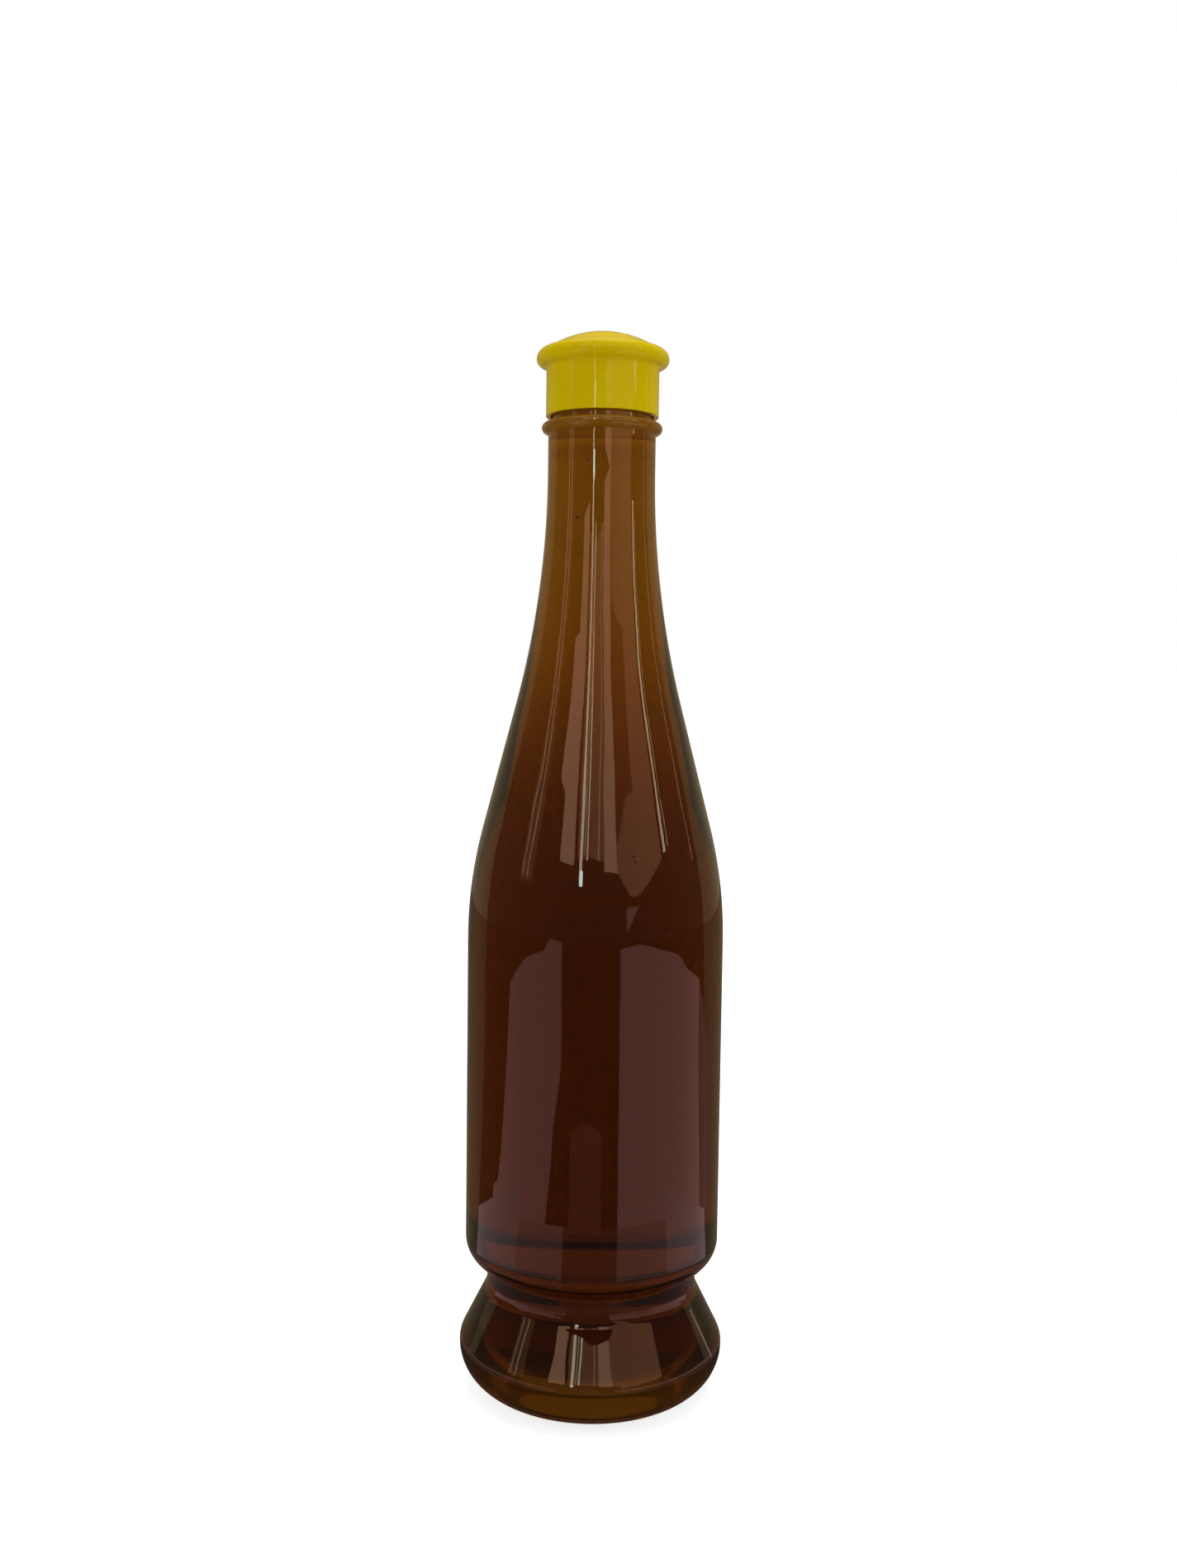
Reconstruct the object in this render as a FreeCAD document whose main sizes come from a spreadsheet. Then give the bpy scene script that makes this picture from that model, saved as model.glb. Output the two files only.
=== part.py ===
import FreeCAD, Part
import math
import os
import Sketcher

"""A tall clear bottle of honey with a push-on cap.

The bottle is blown from thin clear plastic: a pushed-up base inside a bell
foot, a narrow waist, a straight body, a long sloping shoulder, a neck with a
support ring, and a plain finish that a snap bead runs round.  The honey fills
it to a little above the ring.  The cap is pushed over the finish and rests on
the mouth.

Millimetres, Z up, origin at the middle of the ring that the bottle stands on.
Every piece is turned about Z, so each is drawn as a half section in the XZ
plane: X is the radius and Y of the sketch is the height.
"""

SIZES = [
    # body and foot
    ("body_radius", 35.6, "straight body, outside"),
    ("body_height", 93.0, "from the top of the waist to where the body begins to narrow"),
    ("foot_step", 1.5, "how far the widest ring of the bell foot stands out past the body"),
    ("heel_radius", 12.15, "rounding under the widest ring, so also its height"),
    ("foot_round", 6.1, "rounding above the widest ring"),
    ("stand_land", 1.0, "width of the flat ring that it stands on"),
    ("stand_round", 2.5, "rounding inside that ring"),
    ("base_rise", 10.0, "height of the pushed-up base at the middle"),
    ("push_reach", 19.5, "radius at which the upper edge of the push-up is centred"),
    ("push_round", 2.5, "rounding of that edge"),
    ("push_crown", 120.0, "radius of the faint crown inside it"),
    ("waist_step", 6.2, "how far the narrowest part is drawn in from the body"),
    ("waist_top", 34.0, "height where the waist turns out under the body"),
    ("waist_land", 3.0, "straight stretch of the waist"),
    ("flare_radius", 9.0, "hollow curve from the foot into the waist"),
    ("cove_radius", 1.35, "tight hollow curve from the waist under the body"),
    ("corner_radius", 7.6, "lower edge of the body"),
    # shoulder and neck
    ("shoulder_height", 128.1, "from the straight body up to the straight neck"),
    ("shoulder_radius", 122.6, "bulging curve of the shoulder"),
    ("slope_length", 35.6, "straight slope between that curve and the sweep into the neck"),
    ("neck_radius", 14.7, "straight neck, outside"),
    ("neck_height", 13.4, "from the end of the sweep to the top of the support ring"),
    ("wall", 0.5, "blown wall, all the way round"),
    # support ring and finish
    ("ring_step", 1.8, "how far the support ring stands out from the neck"),
    ("ring_round", 1.4, "rounded nose of the support ring"),
    ("ring_depth", 3.1, "from the top of the ring to where its underside meets the neck"),
    ("finish_step", 1.1, "how far the finish above the ring is set back from the neck"),
    ("finish_height", 17.1, "from the top of the ring to the mouth, where the cap rests"),
    ("finish_wall", 2.2, "wall of the finish"),
    ("bore_drop", 3.5, "how far below the top of the ring the straight bore begins"),
    ("lip_round", 0.4, "rounded edges of the mouth"),
    ("bead_drop", 5.0, "snap bead below the mouth"),
    ("bead_round", 1.2, "radius of the snap bead's section"),
    ("bead_depth", 0.4, "how far the snap bead stands out"),
    # honey
    ("headspace", 12.0, "from the mouth down to the honey"),
    # cap
    ("cap_lift", 1.7, "gap between the support ring and the skirt"),
    ("cap_wall", 1.25, "skirt"),
    ("cap_play", 0.15, "gap between the snap bead and the skirt"),
    ("catch_depth", 0.35, "catch inside the skirt, under the snap bead"),
    ("catch_round", 0.9, "radius of the catch's section"),
    ("brim_step", 2.7, "how far the brim stands out past the skirt"),
    ("brim_under", 1.85, "rounding of the brim's lower edge"),
    ("brim_over", 2.75, "rounding of the brim's upper edge"),
    ("brim_cove", 0.7, "hollow corner between skirt and brim"),
    ("brim_ledge", 0.2, "flat ledge between the brim's upper edge and the dome"),
    ("dome_rise", 4.5, "height of the dome above the brim"),
    ("dome_wall", 1.5, "top of the cap"),
    ("plug_play", 0.1, "gap between the plug and the mouth's bore"),
    ("plug_wall", 1.0, "plug that seals the mouth"),
    ("plug_depth", 4.5, "how far the plug reaches into the mouth"),
]

# Places that several pieces share, each a sum of the sizes that lead to it.
PLACES = {
    "foot_radius": "body_radius + foot_step",
    "waist_radius": "body_radius - waist_step",
    "shoulder_start": "waist_top + body_height",
    "neck_start": "shoulder_start + shoulder_height",
    "ring_top": "neck_start + neck_height",
    "ring_radius": "neck_radius + ring_step",
    "finish_radius": "neck_radius - finish_step",
    "bore_radius": "finish_radius - finish_wall",
    "bore_start": "ring_top - bore_drop",
    "mouth_height": "ring_top + finish_height",
    "bead_height": "mouth_height - bead_drop",
    "bead_middle": "finish_radius + bead_depth - bead_round",
    "fill_height": "mouth_height - headspace",
    "cap_bottom": "ring_top + cap_lift",
    "cap_bore": "finish_radius + bead_depth + cap_play",
    "skirt_radius": "cap_bore + cap_wall",
    "catch_height": "bead_height - bead_round - catch_round",
    "catch_middle": "cap_bore - catch_depth + catch_round",
    "brim_radius": "skirt_radius + brim_step",
    "brim_top": "mouth_height + brim_over",
    "dome_radius": "brim_radius - brim_over - brim_ledge",
    "dome_top": "brim_top + dome_rise",
    "plug_radius": "bore_radius - plug_play",
    "plug_room": "plug_radius - plug_wall",
    "plug_low": "mouth_height - plug_depth",
}

QUARTER = math.pi / 2
HALF = math.pi
SHEET = "Sizes"


class Values:
    """The sizes and places in numbers, for the code that lays out first shapes."""

    def __init__(self, sheet):
        for name, _, _ in SIZES:
            setattr(self, name, float(sheet.get(name)))
        for name, text in PLACES.items():
            setattr(self, name, self.total(text))

    def total(self, text):
        sign, result = 1, 0.0
        for word in text.split():
            if word in ("+", "-"):
                sign = 1 if word == "+" else -1
            else:
                result += sign * getattr(self, word)
        return result


def make_sheet(doc):
    sheet = doc.addObject("Spreadsheet::Sheet", SHEET)
    for row, (name, value, meaning) in enumerate(SIZES, start=1):
        sheet.set("A%d" % row, name)
        sheet.set("B%d" % row, str(value))
        sheet.set("C%d" % row, meaning)
        sheet.setAlias("B%d" % row, name)
    doc.recompute()
    return sheet


def cells(text):
    """The expression on the sheet's cells that a text of sizes and places stands for."""
    sizes = {name for name, _, _ in SIZES}
    words = []
    for word in text.split():
        if word in PLACES:
            word = "( " + cells(PLACES[word]) + " )"
        elif word in sizes:
            word = SHEET + "." + word
        words.append(word)
    return " ".join(words)


class Run:
    """One line or arc of an outline, with the ends in the order of travel."""

    def __init__(self, index, first, last):
        self.index = index
        self.first = (index, first)
        self.last = (index, last)


class Outline:
    """A half section drawn run by run, its sizes bound to the sheet."""

    def __init__(self, body, name):
        self.sketch = body.newObject("Sketcher::SketchObject", name)
        plane = [item for item in body.Origin.OriginFeatures if item.Role == "XZ_Plane"][0]
        self.sketch.AttachmentSupport = [(plane, "")]
        self.sketch.MapMode = "FlatFace"

    def line(self, start, end):
        shape = Part.LineSegment(FreeCAD.Vector(*start, 0), FreeCAD.Vector(*end, 0))
        return Run(self.sketch.addGeometry(shape), 1, 2)

    def arc(self, centre, radius, start_angle, end_angle):
        """An arc travelled from start_angle to end_angle, either way round."""
        circle = Part.Circle(FreeCAD.Vector(*centre, 0), FreeCAD.Vector(0, 0, 1), radius)
        low, high = sorted((start_angle, end_angle))
        index = self.sketch.addGeometry(Part.ArcOfCircle(circle, low, high))
        if start_angle < end_angle:
            return Run(index, 1, 2)
        return Run(index, 2, 1)

    def hold(self, *what):
        return self.sketch.addConstraint(Sketcher.Constraint(*what))

    def bind(self, text, *what):
        number = self.hold(*what)
        self.sketch.setExpression("Constraints[%d]" % number, cells(text))

    def smooth(self, *runs):
        """Consecutive runs meet end to end in one direction."""
        for before, after in zip(runs, runs[1:]):
            self.hold("Tangent", *before.last, *after.first)

    def meet(self, *runs):
        for before, after in zip(runs, runs[1:]):
            self.hold("Coincident", *before.last, *after.first)

    def upright(self, *runs):
        for run in runs:
            self.hold("Vertical", run.index)

    def level(self, *runs):
        for run in runs:
            self.hold("Horizontal", run.index)

    def radius(self, run, text):
        value = self.sketch.Geometry[run.index].Radius
        self.bind(text, "Radius", run.index, value)

    def length(self, run, text):
        value = self.sketch.Geometry[run.index].length()
        self.bind(text, "Distance", run.index, value)

    def across(self, point, text):
        self.bind(text, "DistanceX", -1, 1, *point, self.sketch.getPoint(*point).x)

    def height(self, point, text):
        self.bind(text, "DistanceY", -1, 1, *point, self.sketch.getPoint(*point).y)

    def on_axis(self, point):
        self.hold("PointOnObject", *point, -2)

    def centre(self, run, across, height):
        """The middle of an arc, by its radius from the axis and its height."""
        self.across((run.index, 3), across)
        self.height((run.index, 3), height)


def crossing_angle(bulge, bulge_radius, hollow, hollow_radius):
    """Direction, from the bulge's centre, in which a line touches it and the hollow beyond."""
    run = math.hypot(hollow[0] - bulge[0], hollow[1] - bulge[1])
    aim = math.atan2(hollow[1] - bulge[1], hollow[0] - bulge[0])
    return aim - math.acos((bulge_radius + hollow_radius) / run)


def polar(centre, radius, angle):
    return (centre[0] + radius * math.cos(angle), centre[1] + radius * math.sin(angle))


def vessel_side(outline, v, inside):
    """The blown outline, from the axis under the base up to the straight neck.

    Inside, every bulging curve is tighter and every hollow one wider by the
    wall.  Returns the first and the last run.
    """
    inset = v.wall if inside else 0.0
    less = " - wall" if inside else ""
    more = " + wall" if inside else ""

    # base: a faint crown on a steep-walled push-up, then the standing ring
    stand_out = v.foot_radius - v.heel_radius
    stand_in = stand_out - v.stand_land
    spread = v.push_crown - v.push_round
    lift = math.acos(v.push_reach / spread)
    brow_centre = (v.push_reach, v.base_rise - v.push_crown + spread * math.sin(lift))
    ring_centre = (stand_in, v.stand_round)
    run = math.hypot(stand_in - brow_centre[0], v.stand_round - brow_centre[1])
    aim = math.atan2(v.stand_round - brow_centre[1], stand_in - brow_centre[0])
    lean = aim + math.acos((v.push_round + v.stand_round) / run)
    crown = outline.arc((0, v.base_rise - v.push_crown), v.push_crown + inset, QUARTER, lift)
    brow = outline.arc(brow_centre, v.push_round + inset, lift, lean)
    ring_start = polar(ring_centre, v.stand_round - inset, HALF + lean)
    rise = outline.line(polar(brow_centre, v.push_round + inset, lean), ring_start)
    ring = outline.arc(ring_centre, v.stand_round - inset, HALF + lean, 3 * QUARTER)
    land = outline.line((stand_in, inset), (stand_out, inset))
    outline.on_axis((crown.index, 3))
    outline.on_axis(crown.first)
    outline.height(crown.first, "base_rise" + more)
    outline.radius(crown, "push_crown" + more)
    outline.radius(brow, "push_round" + more)
    outline.across((brow.index, 3), "push_reach")
    outline.radius(ring, "stand_round" + less)
    outline.centre(ring, "foot_radius - heel_radius - stand_land", "stand_round")

    # bell foot: heel, rounding above it, then the hollow curve into the waist
    heel = outline.arc((stand_out, v.heel_radius), v.heel_radius - inset, 3 * QUARTER, 4 * QUARTER)
    outline.radius(heel, "heel_radius" + less)
    outline.centre(heel, "foot_radius - heel_radius", "heel_radius")
    over_centre = (v.foot_radius - v.foot_round, v.heel_radius)
    flare_centre = (v.waist_radius + v.flare_radius, v.waist_top - v.waist_land)
    turn = crossing_angle(over_centre, v.foot_round, flare_centre, v.flare_radius)
    over = outline.arc(over_centre, v.foot_round - inset, 0, turn)
    flare_end = polar(flare_centre, v.flare_radius + inset, HALF + turn)
    flank = outline.line(polar(over_centre, v.foot_round - inset, turn), flare_end)
    flare = outline.arc(flare_centre, v.flare_radius + inset, HALF + turn, HALF)
    outline.radius(over, "foot_round" + less)
    outline.height((over.index, 3), "heel_radius")
    outline.radius(flare, "flare_radius" + more)
    outline.centre(flare, "waist_radius + flare_radius", "waist_top - waist_land")

    # waist and the rounded lower edge of the body
    cove_centre = (v.waist_radius + v.cove_radius, v.waist_top)
    step = v.corner_radius + v.cove_radius
    under = math.acos(1 - (v.body_radius - v.waist_radius) / step)
    corner_centre = (v.body_radius - v.corner_radius, v.waist_top + step * math.sin(under))
    waist_line = v.waist_radius - inset
    waist = outline.line((waist_line, flare_centre[1]), (waist_line, v.waist_top))
    cove = outline.arc(cove_centre, v.cove_radius + inset, HALF, HALF - under)
    corner = outline.arc(corner_centre, v.corner_radius - inset, -under, 0)
    outline.radius(cove, "cove_radius" + more)
    outline.centre(cove, "waist_radius + cove_radius", "waist_top")
    outline.radius(corner, "corner_radius" + less)
    outline.across((corner.index, 3), "body_radius - corner_radius")

    # straight body, bulging shoulder, straight slope and hollow sweep into the neck
    side = outline.line(polar(corner_centre, v.corner_radius - inset, 0),
                        (v.body_radius - inset, v.shoulder_start))
    narrowing = v.body_radius - v.neck_radius
    reach = narrowing ** 2 + v.shoulder_height ** 2 - v.slope_length ** 2
    sweep_radius = reach / (2 * narrowing) - v.shoulder_radius
    bulge_centre = (v.body_radius - v.shoulder_radius, v.shoulder_start)
    sweep_centre = (v.neck_radius + sweep_radius, v.neck_start)
    slope_angle = crossing_angle(bulge_centre, v.shoulder_radius, sweep_centre, sweep_radius)
    bulge = outline.arc(bulge_centre, v.shoulder_radius - inset, 0, slope_angle)
    sweep_end = polar(sweep_centre, sweep_radius + inset, HALF + slope_angle)
    slope = outline.line(polar(bulge_centre, v.shoulder_radius - inset, slope_angle), sweep_end)
    sweep = outline.arc(sweep_centre, sweep_radius + inset, HALF + slope_angle, HALF)
    outline.radius(bulge, "shoulder_radius" + less)
    outline.centre(bulge, "body_radius - shoulder_radius", "shoulder_start")
    outline.length(slope, "slope_length")
    outline.height((sweep.index, 3), "neck_start")
    outline.across(sweep.last, "neck_radius" + less)

    outline.smooth(crown, brow, rise, ring, land, heel, over, flank, flare, waist)
    outline.smooth(waist, cove, corner, side, bulge, slope, sweep)
    return crown, sweep


def bottle_section(body, v):
    """The bottle's outside, solid: the blown side, the support ring and the finish."""
    outline = Outline(body, "BottleSection")
    crown, sweep = vessel_side(outline, v, inside=False)
    nose = (v.ring_radius - v.ring_round, v.ring_top - v.ring_round)
    ring_foot = (v.neck_radius, v.ring_top - v.ring_depth)
    back = math.atan2(ring_foot[1] - nose[1], ring_foot[0] - nose[0])
    fall = back + math.acos(v.ring_round / math.dist(ring_foot, nose))
    under = polar(nose, v.ring_round, fall)
    bead_centre = (v.bead_middle, v.bead_height)
    reach = math.acos((v.bead_round - v.bead_depth) / v.bead_round)
    bead_low = polar(bead_centre, v.bead_round, -reach)
    bead_high = polar(bead_centre, v.bead_round, reach)

    neck = outline.line((v.neck_radius, v.neck_start), ring_foot)
    cone = outline.line(ring_foot, under)
    edge = outline.arc(nose, v.ring_round, fall, QUARTER)
    top = outline.line((nose[0], v.ring_top), (v.finish_radius, v.ring_top))
    collar = outline.line((v.finish_radius, v.ring_top), bead_low)
    bead = outline.arc(bead_centre, v.bead_round, -reach, reach)
    lip = outline.line(bead_high, (v.finish_radius, v.mouth_height))
    mouth = outline.line((v.finish_radius, v.mouth_height), (0, v.mouth_height))
    axis = outline.line((0, v.mouth_height), (0, v.base_rise))

    outline.meet(sweep, neck, cone)
    outline.smooth(cone, edge, top)
    outline.meet(top, collar, bead, lip, mouth, axis, crown)
    outline.height(cone.first, "ring_top - ring_depth")
    outline.upright(neck, collar, lip, axis)
    outline.level(top, mouth)
    outline.radius(edge, "ring_round")
    outline.centre(edge, "ring_radius - ring_round", "ring_top - ring_round")
    outline.across(collar.first, "finish_radius")
    outline.radius(bead, "bead_round")
    outline.centre(bead, "bead_middle", "bead_height")
    outline.across(lip.last, "finish_radius")
    outline.height(lip.last, "mouth_height")
    return outline.sketch


def inside_section(body, v, name, level_name):
    """The room inside the bottle, from the base up to a named height in its bore."""
    outline = Outline(body, name)
    top = getattr(v, level_name)
    crown, sweep = vessel_side(outline, v, inside=True)
    inner_neck = v.neck_radius - v.wall
    taper = outline.line((inner_neck, v.neck_start), (v.bore_radius, v.bore_start))
    bore = outline.line((v.bore_radius, v.bore_start), (v.bore_radius, top))
    level = outline.line((v.bore_radius, top), (0, top))
    axis = outline.line((0, top), (0, v.base_rise + v.wall))

    outline.meet(sweep, taper, bore, level, axis, crown)
    outline.height(sweep.last, "neck_start")
    outline.height(bore.first, "bore_start")
    outline.across(bore.first, "bore_radius")
    outline.upright(bore, axis)
    outline.level(level)
    outline.height(level.first, level_name)
    return outline.sketch


def turn(body, kind, name, sketch):
    """A full turn of a half section about the axis, adding or cutting."""
    feature = body.newObject("PartDesign::" + kind, name)
    feature.Profile = sketch
    feature.ReferenceAxis = (sketch, ["V_Axis"])
    feature.Angle = 360
    return feature


def circles_at(shape, height):
    """Names of the edges that lie flat at one height."""
    names = []
    for number, edge in enumerate(shape.Edges, start=1):
        box = edge.BoundBox
        if abs(box.ZMin - height) < 1e-4 and abs(box.ZMax - height) < 1e-4:
            names.append("Edge%d" % number)
    return names


def make_bottle(doc, v):
    body = doc.addObject("PartDesign::Body", "Bottle")
    body.Label = "bottle"
    turn(body, "Revolution", "BottleTurn", bottle_section(body, v))
    doc.recompute()
    room = inside_section(body, v, "BottleRoom", "mouth_height")
    hollow = turn(body, "Groove", "BottleHollow", room)
    doc.recompute()
    rim = body.newObject("PartDesign::Fillet", "MouthRounding")
    rim.Base = (hollow, circles_at(hollow.Shape, v.mouth_height))
    rim.setExpression("Radius", cells("lip_round"))
    return body


def make_honey(doc, v):
    body = doc.addObject("PartDesign::Body", "Honey")
    body.Label = "honey"
    section = inside_section(body, v, "HoneySection", "fill_height")
    turn(body, "Revolution", "HoneyTurn", section)
    return body


def cap_section(body, v):
    """The cap's outside, solid: skirt, rounded brim, ledge and low dome."""
    outline = Outline(body, "CapSection")
    brim_low = v.mouth_height - v.brim_under
    ball = (v.dome_radius ** 2 + v.dome_rise ** 2) / (2 * v.dome_rise)
    lean = math.acos(v.dome_radius / ball)

    cove_centre = (v.skirt_radius + v.brim_cove, brim_low - v.brim_cove)
    foot = outline.line((0, v.cap_bottom), (v.skirt_radius, v.cap_bottom))
    skirt = outline.line((v.skirt_radius, v.cap_bottom), (v.skirt_radius, cove_centre[1]))
    cove = outline.arc(cove_centre, v.brim_cove, HALF, QUARTER)
    under_centre = (v.brim_radius - v.brim_under, v.mouth_height)
    shelf = outline.line((cove_centre[0], brim_low), (under_centre[0], brim_low))
    under = outline.arc(under_centre, v.brim_under, -QUARTER, 0)
    over_centre = (v.brim_radius - v.brim_over, v.mouth_height)
    over = outline.arc(over_centre, v.brim_over, 0, QUARTER)
    ledge = outline.line((over_centre[0], v.brim_top), (v.dome_radius, v.brim_top))
    dome = outline.arc((0, v.dome_top - ball), ball, lean, QUARTER)
    axis = outline.line((0, v.dome_top), (0, v.cap_bottom))

    outline.meet(foot, skirt)
    outline.smooth(skirt, cove, shelf, under, over, ledge)
    outline.meet(ledge, dome, axis, foot)
    outline.level(foot, shelf, ledge)
    outline.upright(skirt, axis)
    outline.on_axis(axis.first)
    outline.height(foot.first, "cap_bottom")
    outline.across(foot.last, "skirt_radius")
    outline.radius(cove, "brim_cove")
    outline.radius(under, "brim_under")
    outline.centre(under, "brim_radius - brim_under", "mouth_height")
    outline.radius(over, "brim_over")
    outline.height((over.index, 3), "mouth_height")
    outline.across(ledge.last, "dome_radius")
    outline.on_axis((dome.index, 3))
    outline.height(dome.last, "dome_top")
    return outline.sketch


def cap_room_section(body, v):
    """The room inside the skirt and round the plug, with the catch that snaps under the bead."""
    outline = Outline(body, "CapRoom")
    catch_centre = (v.catch_middle, v.catch_height)
    reach = math.acos((v.catch_round - v.catch_depth) / v.catch_round)
    catch_low = polar(catch_centre, v.catch_round, HALF + reach)
    catch_high = polar(catch_centre, v.catch_round, HALF - reach)

    foot = outline.line((0, v.cap_bottom), (v.cap_bore, v.cap_bottom))
    skirt = outline.line((v.cap_bore, v.cap_bottom), catch_low)
    catch = outline.arc(catch_centre, v.catch_round, HALF + reach, HALF - reach)
    above = outline.line(catch_high, (v.cap_bore, v.mouth_height))
    seat = outline.line((v.cap_bore, v.mouth_height), (v.plug_radius, v.mouth_height))
    side = outline.line((v.plug_radius, v.mouth_height), (v.plug_radius, v.plug_low))
    end = outline.line((v.plug_radius, v.plug_low), (0, v.plug_low))
    axis = outline.line((0, v.plug_low), (0, v.cap_bottom))

    outline.meet(foot, skirt, catch, above, seat, side, end, axis, foot)
    outline.level(foot, seat, end)
    outline.upright(skirt, above, side, axis)
    outline.on_axis(foot.first)
    outline.height(foot.first, "cap_bottom")
    outline.across(foot.last, "cap_bore")
    outline.radius(catch, "catch_round")
    outline.centre(catch, "catch_middle", "catch_height")
    outline.across(seat.first, "cap_bore")
    outline.height(seat.first, "mouth_height")
    outline.across(side.first, "plug_radius")
    outline.height(side.last, "plug_low")
    return outline.sketch


def plug_room_section(body, v):
    """The room inside the plug, up to the underside of the dome."""
    outline = Outline(body, "PlugRoom")
    ball = (v.dome_radius ** 2 + v.dome_rise ** 2) / (2 * v.dome_rise)
    middle = (0, v.dome_top - ball)
    lean = math.acos(v.plug_room / (ball - v.dome_wall))
    side_top = polar(middle, ball - v.dome_wall, lean)

    foot = outline.line((0, v.plug_low), (v.plug_room, v.plug_low))
    side = outline.line((v.plug_room, v.plug_low), side_top)
    dome = outline.arc(middle, ball - v.dome_wall, lean, QUARTER)
    axis = outline.line((0, v.dome_top - v.dome_wall), (0, v.plug_low))

    outline.meet(foot, side, dome, axis, foot)
    outline.level(foot)
    outline.upright(side, axis)
    outline.on_axis(foot.first)
    outline.height(foot.first, "plug_low")
    outline.across(foot.last, "plug_room")
    outline.on_axis((dome.index, 3))
    outline.height(dome.last, "dome_top - dome_wall")
    ball_text = "( dome_radius * dome_radius + dome_rise * dome_rise ) / ( 2 * dome_rise )"
    outline.radius(dome, ball_text + " - dome_wall")
    return outline.sketch


def make_cap(doc, v):
    body = doc.addObject("PartDesign::Body", "Cap")
    body.Label = "cap"
    turn(body, "Revolution", "CapTurn", cap_section(body, v))
    doc.recompute()
    turn(body, "Groove", "CapHollow", cap_room_section(body, v))
    doc.recompute()
    turn(body, "Groove", "PlugHollow", plug_room_section(body, v))
    return body


def check(doc):
    for item in doc.Objects:
        if "Invalid" in item.State or "Error" in item.State:
            raise RuntimeError("%s did not build: %s" % (item.Name, item.State))


def export(bodies):
    for body in bodies:
        shape = body.Shape
        if shape.isNull() or not shape.isValid() or len(shape.Solids) != 1:
            raise RuntimeError("%s is not one sound solid" % body.Label)
    os.makedirs("parts", exist_ok=True)
    for body in bodies:
        body.Shape.exportStep("parts/%s.step" % body.Label)
        box = body.Shape.optimalBoundingBox()
        print("%-7s %9.1f mm3, radius %.2f, height %.2f to %.2f"
              % (body.Label, body.Shape.Volume, box.XMax, box.ZMin, box.ZMax))


def main():
    doc = FreeCAD.newDocument("HoneyBottle")
    values = Values(make_sheet(doc))
    bodies = [make_bottle(doc, values), make_honey(doc, values), make_cap(doc, values)]
    doc.recompute()
    check(doc)
    export(bodies)


main()
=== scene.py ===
import math

import bpy
from mathutils import Matrix, Vector


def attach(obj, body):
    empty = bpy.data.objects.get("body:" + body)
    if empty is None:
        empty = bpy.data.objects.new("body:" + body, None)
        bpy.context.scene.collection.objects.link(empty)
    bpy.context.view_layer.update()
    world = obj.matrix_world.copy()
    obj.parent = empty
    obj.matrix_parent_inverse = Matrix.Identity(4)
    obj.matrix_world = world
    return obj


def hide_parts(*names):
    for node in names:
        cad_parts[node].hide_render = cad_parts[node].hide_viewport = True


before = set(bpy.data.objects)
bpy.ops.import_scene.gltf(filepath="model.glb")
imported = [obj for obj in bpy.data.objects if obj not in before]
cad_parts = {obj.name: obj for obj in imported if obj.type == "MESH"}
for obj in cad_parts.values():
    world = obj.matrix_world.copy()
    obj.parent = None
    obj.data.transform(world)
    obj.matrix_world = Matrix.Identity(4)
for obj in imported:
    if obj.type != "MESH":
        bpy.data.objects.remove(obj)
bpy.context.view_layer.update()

# A tall clear plastic bottle of honey with a yellow push-on cap, in a white studio.
#
# Sizes are millimetres, as a maker writes them, and become metres when a mesh is
# made.  The bottle, the honey and the cap are turned about Z from half outlines.

MM = 0.001
QUARTER = math.pi / 2
HALF = math.pi

# body and foot
BODY = 35.6
FOOT = BODY + 1.5
HEEL = 12.15
FOOT_ROUND = 6.1
STAND_LAND = 1.0
STAND_ROUND = 2.5
BASE_RISE = 10.0
PUSH_REACH = 19.5
PUSH_ROUND = 2.5
PUSH_CROWN = 120.0
WAIST = BODY - 6.2
WAIST_TOP = 34.0
WAIST_LAND = 3.0
FLARE = 9.0
COVE = 1.35
CORNER = 7.6
# shoulder, neck and blown wall
SHOULDER_START = WAIST_TOP + 93.0
SHOULDER_HEIGHT = 128.1
SHOULDER_ROUND = 122.6
SLOPE = 35.6
NECK = 14.7
NECK_START = SHOULDER_START + SHOULDER_HEIGHT
WALL = 0.5
# support ring and finish
RING = NECK + 1.8
RING_TOP = NECK_START + 13.4
RING_ROUND = 1.4
RING_DEPTH = 3.1
FINISH = NECK - 1.1
BORE = FINISH - 2.2
# the wall thickens to the bore along a slope, as far below as above this height
BORE_START = RING_TOP - 0.8
BORE_EASE = 1.2
MOUTH = RING_TOP + 17.1
LIP_ROUND = 0.4
BEAD_ROUND = 1.2
BEAD_DEPTH = 0.4
BEAD_HEIGHT = MOUTH - 5.0
# honey, which bites into the wall so that no air shows between them
HONEY_TOP = MOUTH - 12.0
HONEY_BITE = 0.25
# cap
CAP_BOTTOM = RING_TOP + 1.7
CAP_BORE = FINISH + BEAD_DEPTH + 0.15
SKIRT = CAP_BORE + 1.25
CATCH_DEPTH = 0.35
CATCH_ROUND = 0.9
BRIM = SKIRT + 2.7
BRIM_UNDER = 1.85
BRIM_OVER = 2.75
BRIM_COVE = 0.7
SKIRT_EASE = 0.12
DOME_FOOT = BRIM - BRIM_OVER - 0.2
DOME_RISE = 4.5
DOME_WALL = 1.5
PLUG = BORE - 0.1
PLUG_ROOM = PLUG - 1.0
PLUG_LOW = MOUTH - 4.5

# how finely the outlines are divided and turned, and from which angle an edge stays sharp
ARC_TURN = math.radians(5)
ARC_LENGTH = 3.0
TURN_STEPS = 180
SAME_SPOT = 1e-4
LEAST_RISE = 1e-6
SHARP_FROM = math.radians(32)


# ---------------------------------------------------------------- outlines

def polar(centre, radius, angle):
    return (centre[0] + radius * math.cos(angle), centre[1] + radius * math.sin(angle))


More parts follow.
